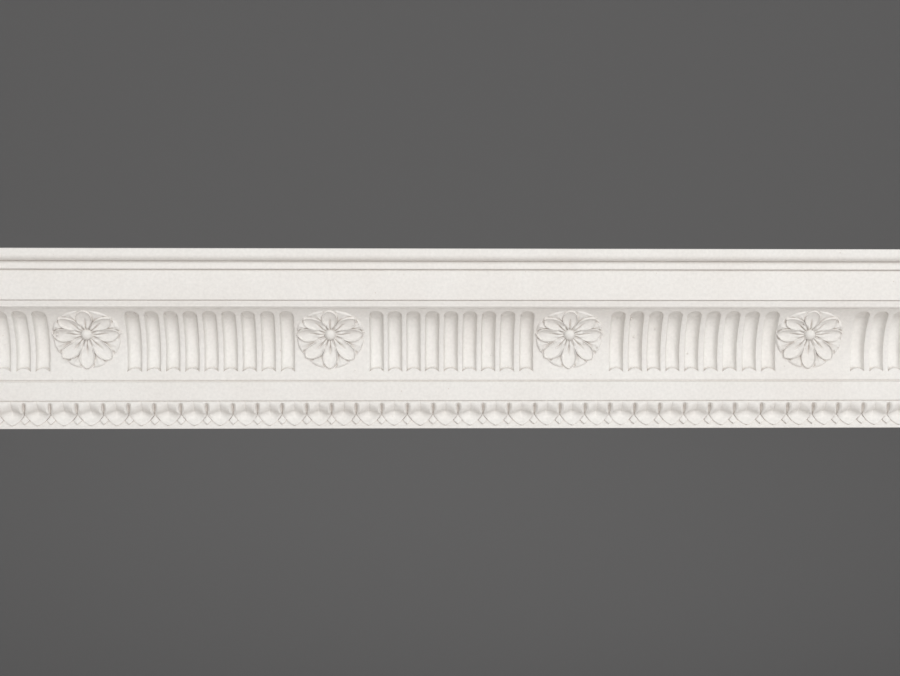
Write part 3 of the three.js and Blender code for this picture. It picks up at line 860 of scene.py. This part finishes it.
class DADO_OT_casting(bpy.types.Operator):
    """Join the forms into one casting, cut its ends square and give it its finish"""
    bl_idname = "dado.casting"
    bl_label = "Casting"

    def execute(self, context):
        run, _, _, _ = read_sizes(context.scene)
        casting = bpy.data.objects["moulding_run"]
        for name in ("fluted_frieze", "rosettes", "buttons", "leaf_course"):
            combine(casting, bpy.data.objects[name], "UNION")
        combine(casting, bpy.data.objects["pits"], "DIFFERENCE")
        half = run.length / 2
        sharp_over = 42
        clear, front = 5, 60
        square = np.array([(-clear, -clear), (front, -clear), (front, run.height + clear),
                           (-clear, run.height + clear)])
        ends = np.array([-half, half])[:, None]
        crop = skin_rings("crop", place(run, ends, square[None, :, 0], square[None, :, 1]))
        combine(casting, crop, "INTERSECT")
        casting.name = "plaster_rail"
        casting.data.name = "plaster_rail"
        casting.data.shade_smooth()
        casting.data.set_sharp_from_angle(angle=math.radians(sharp_over))
        casting.data.materials.clear()
        casting.data.materials.append(plaster_material(context.scene.dado_finish))
        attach(casting, "root")
        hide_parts("dado_rail")
        return {"FINISHED"}


def pinhole_shade_group():
    """Shader group for painted shade: sparse pinholes, drawn only in colour as dark dots, where the
    surface passes within a given distance of scattered points in space. Gives one in a pinhole and
    nought elsewhere."""
    group = bpy.data.node_groups.new("pinhole_shade", "ShaderNodeTree")
    group.interface.new_socket("Vector", in_out="INPUT", socket_type="NodeSocketVector")
    spacing = group.interface.new_socket("Scale", in_out="INPUT", socket_type="NodeSocketFloat")
    spacing.default_value = 90
    group.interface.new_socket("Hole", in_out="OUTPUT", socket_type="NodeSocketFloat")
    entry = group.nodes.new("NodeGroupInput")
    leave = group.nodes.new("NodeGroupOutput")
    points = group.nodes.new("ShaderNodeTexVoronoi")
    group.links.new(entry.outputs["Vector"], points.inputs["Vector"])
    group.links.new(entry.outputs["Scale"], points.inputs["Scale"])
    outer, inner = 0.036, 0.018
    group.links.new(ranged(group, points.outputs["Distance"], outer, inner), leave.inputs["Hole"])
    return group


def mixed(tree, first, second, amount, blend_type="MIX"):
    """A colour mix of two sockets or colours by a socket or a number."""
    node = tree.nodes.new("ShaderNodeMix")
    node.data_type = "RGBA"
    node.blend_type = blend_type
    for name, value in (("A", first), ("B", second), ("Factor", amount)):
        if isinstance(value, bpy.types.NodeSocket):
            tree.links.new(value, node.inputs[name])
        else:
            node.inputs[name].default_value = value
    return node.outputs["Result"]


def ranged(tree, value, low, high, to_low=0.0, to_high=1.0):
    """A socket's value mapped from one range to another."""
    node = tree.nodes.new("ShaderNodeMapRange")
    node.inputs["From Min"].default_value = low
    node.inputs["From Max"].default_value = high
    node.inputs["To Min"].default_value = to_low
    node.inputs["To Max"].default_value = to_high
    tree.links.new(value, node.inputs["Value"])
    return node.outputs["Result"]


def noise(tree, coords, scale, detail):
    """A noise value over the object's own coordinates."""
    node = tree.nodes.new("ShaderNodeTexNoise")
    node.inputs["Scale"].default_value = scale
    node.inputs["Detail"].default_value = detail
    tree.links.new(coords, node.inputs["Vector"])
    return node.outputs["Fac"]


def matt_material(name, roughness, specular):
    """A new material, its node tree and its shader."""
    material = bpy.data.materials.new(name)
    material.use_nodes = True
    shader = material.node_tree.nodes["Principled BSDF"]
    shader.inputs["Roughness"].default_value = roughness
    shader.inputs["Specular IOR Level"].default_value = specular
    return material, material.node_tree, shader


def bumped(tree, height, distance, normal=None):
    """A bump node over a height, on top of another normal where one is given."""
    node = tree.nodes.new("ShaderNodeBump")
    node.inputs["Distance"].default_value = distance
    tree.links.new(height, node.inputs["Height"])
    if normal:
        tree.links.new(normal, node.inputs["Normal"])
    return node


def plaster_material(finish):
    """Matt casting plaster: warm patches and a fine mottle, with painted shade in brown, from ambient
    occlusion, in recesses and the deepest creases and in dots for pinholes. The sawn ends are whiter
    and the bedded back is rough."""
    material, tree, shader = matt_material("casting_plaster", 0.78, 0.3)
    link = tree.links.new
    coords = tree.nodes.new("ShaderNodeTexCoord").outputs["Object"]
    split = tree.nodes.new("ShaderNodeSeparateXYZ")
    link(coords, split.inputs["Vector"])
    along = tree.nodes.new("ShaderNodeMath")
    along.operation = "ABSOLUTE"
    link(split.outputs["X"], along.inputs[0])
    end = node_high[0]
    on_end = ranged(tree, along.outputs["Value"], end - 0.0003, end - 0.0001)
    on_back = ranged(tree, split.outputs["Y"], -0.0004, -0.0001)

    warm = ranged(tree, noise(tree, coords, 28, 4), 0.4, 0.75)
    base = mixed(tree, (*finish.face, 1), (*finish.warm, 1), warm)
    for tint, amount in ((finish.cut, on_end), (finish.back, on_back)):
        base = mixed(tree, base, (*tint, 1), amount)
    fleck = ranged(tree, noise(tree, coords, 520, 3), 0.3, 0.7, 0.955, 1.03)
    base = mixed(tree, base, fleck, 1.0, "MULTIPLY")
    hole = tree.nodes.new("ShaderNodeGroup")
    hole.node_tree = pinhole_shade_group()
    link(coords, hole.inputs["Vector"])
    # Painted shade: ambient occlusion mixes the shade brown lightly into recesses and strongly into
    # the deepest creases, and dots of it stand for the shade in pinholes
    occlusion = tree.nodes.new("ShaderNodeAmbientOcclusion")
    occlusion.samples = 8
    occlusion.inputs["Distance"].default_value = 0.003
    pinhole_shade = ranged(tree, hole.outputs["Hole"], 0, 1, 0, 0.45)
    recess_shade = ranged(tree, occlusion.outputs["AO"], 0.92, 0.45, 0, 0.08)
    crease = ranged(tree, occlusion.outputs["AO"], 0.5, 0.1, 0, 0.2)
    for amount in (pinhole_shade, recess_shade, crease):
        base = mixed(tree, base, (*finish.painted_shade, 1), amount)
    link(base, shader.inputs["Base Color"])

    grain = bumped(tree, noise(tree, coords, 900, 3), 0.0002)
    grain.inputs["Strength"].default_value = 0.3
    rough = bumped(tree, noise(tree, coords, 160, 6), 0.0012, grain.outputs["Normal"])
    link(on_back, rough.inputs["Strength"])
    link(rough.outputs["Normal"], shader.inputs["Normal"])
    return material


def plain_material(name, value, roughness):
    """A plain matt surface for the floor and the backdrop."""
    material, _, shader = matt_material(name, roughness, 0.1)
    shader.inputs["Base Color"].default_value = (*value, 1)
    return material


def flat_sheet(name, corners, material):
    """One four-sided sheet through four corners."""
    mesh = bpy.data.meshes.new(name)
    mesh.from_pydata(corners, [], [(0, 1, 2, 3)])
    mesh.materials.append(material)
    new_object(name, mesh)


def area_light(name, place_at, size, power):
    """A soft rectangular light that faces the rail's middle."""
    data = bpy.data.lights.new(name, "AREA")
    data.shape = "RECTANGLE"
    data.size, data.size_y = size
    data.energy = power
    obj = new_object(name, data)
    obj.location = place_at
    obj.rotation_euler = (-Vector(place_at)).to_track_quat("-Z", "Y").to_euler()


class DADO_OT_stage(bpy.types.Operator):
    """Set up the camera, the soft lights, the pale floor and the backdrop"""
    bl_idname = "dado.stage"
    bl_label = "Stage"

    def execute(self, context):
        scene = context.scene
        stage = scene.dado_stage
        run, _, _, _ = read_sizes(scene)
        sensor = 36
        data = bpy.data.cameras.new("camera")
        data.sensor_width = sensor
        data.lens = sensor * stage.camera_distance / stage.view_width
        camera = new_object("camera", data)
        camera.location = (stage.camera_along,
                           -run.frieze_reach * MM - stage.camera_distance, stage.camera_height)
        swing = math.atan2(stage.view_centre - stage.camera_along, stage.camera_distance)
        camera.rotation_euler = (math.pi / 2, 0, -swing)
        scene.camera = camera

        floor = -stage.floor_drop
        wide = 6.0
        flat_sheet("floor", [(-wide, -wide, floor), (wide, -wide, floor),
                             (wide, wide, floor), (-wide, wide, floor)],
                   plain_material("pale_floor", (0.72, 0.68, 0.655), 0.9))
        behind, backdrop_top = stage.backdrop, 3.2
        flat_sheet("backdrop", [(wide, behind, floor), (-wide, behind, floor),
                                (-wide, behind, backdrop_top), (wide, behind, backdrop_top)],
                   plain_material("grey_backdrop", (0.202, 0.206, 0.21), 1.0))

        for light in LIGHTS:
            area_light(*light)
        world = bpy.data.worlds.new("studio")
        world.use_nodes = True
        sky = world.node_tree.nodes["Background"].inputs
        sky["Color"].default_value = (1, 0.972, 0.952, 1)
        sky["Strength"].default_value = 0.4
        scene.world = world
        scene.view_settings.view_transform = "Standard"
        return {"FINISHED"}


class DADO_PT_panel(bpy.types.Panel):
    """The rail's sizes, finish and build steps"""
    bl_label = "Dado rail"
    bl_idname = "DADO_PT_panel"
    bl_space_type = "VIEW_3D"
    bl_region_type = "UI"
    bl_category = "Dado rail"

    def draw(self, context):
        layout = self.layout
        for title, group in SETTINGS:
            box = layout.box()
            box.label(text=title)
            settings = getattr(context.scene, group)
            for name in settings.__annotations__:
                box.prop(settings, name)
        for operator in STEPS:
            layout.operator(operator.bl_idname)


SETTINGS = (
    ("Plain members", "dado_run"),
    ("Flutes", "dado_flutes"),
    ("Rosettes", "dado_rosettes"),
    ("Leaves", "dado_leaves"),
    ("Finish", "dado_finish"),
    ("Stage", "dado_stage"),
)
GROUPS = (DadoRunSizes, DadoFluteSizes, DadoRosetteSizes, DadoLeafSizes, DadoFinish, DadoStage)
STEPS = (DADO_OT_run, DADO_OT_frieze, DADO_OT_rosettes, DADO_OT_leaves, DADO_OT_casting,
         DADO_OT_stage)


def register():
    """Register the classes and hang the settings on the scene."""
    for item in (*GROUPS, *STEPS, DADO_PT_panel):
        bpy.utils.register_class(item)
    for (_, name), group in zip(SETTINGS, GROUPS):
        setattr(bpy.types.Scene, name, bpy.props.PointerProperty(type=group))


def unregister():
    """Undo what register did."""
    for _, name in SETTINGS:
        delattr(bpy.types.Scene, name)
    for item in reversed((*GROUPS, *STEPS, DADO_PT_panel)):
        bpy.utils.unregister_class(item)


def main():
    """Build the stage and the rail."""
    register()
    bpy.ops.dado.stage()
    bpy.ops.dado.run()
    bpy.ops.dado.frieze()
    bpy.ops.dado.rosettes()
    bpy.ops.dado.leaves()
    bpy.ops.dado.casting()


if __name__ == "__main__":
    main()
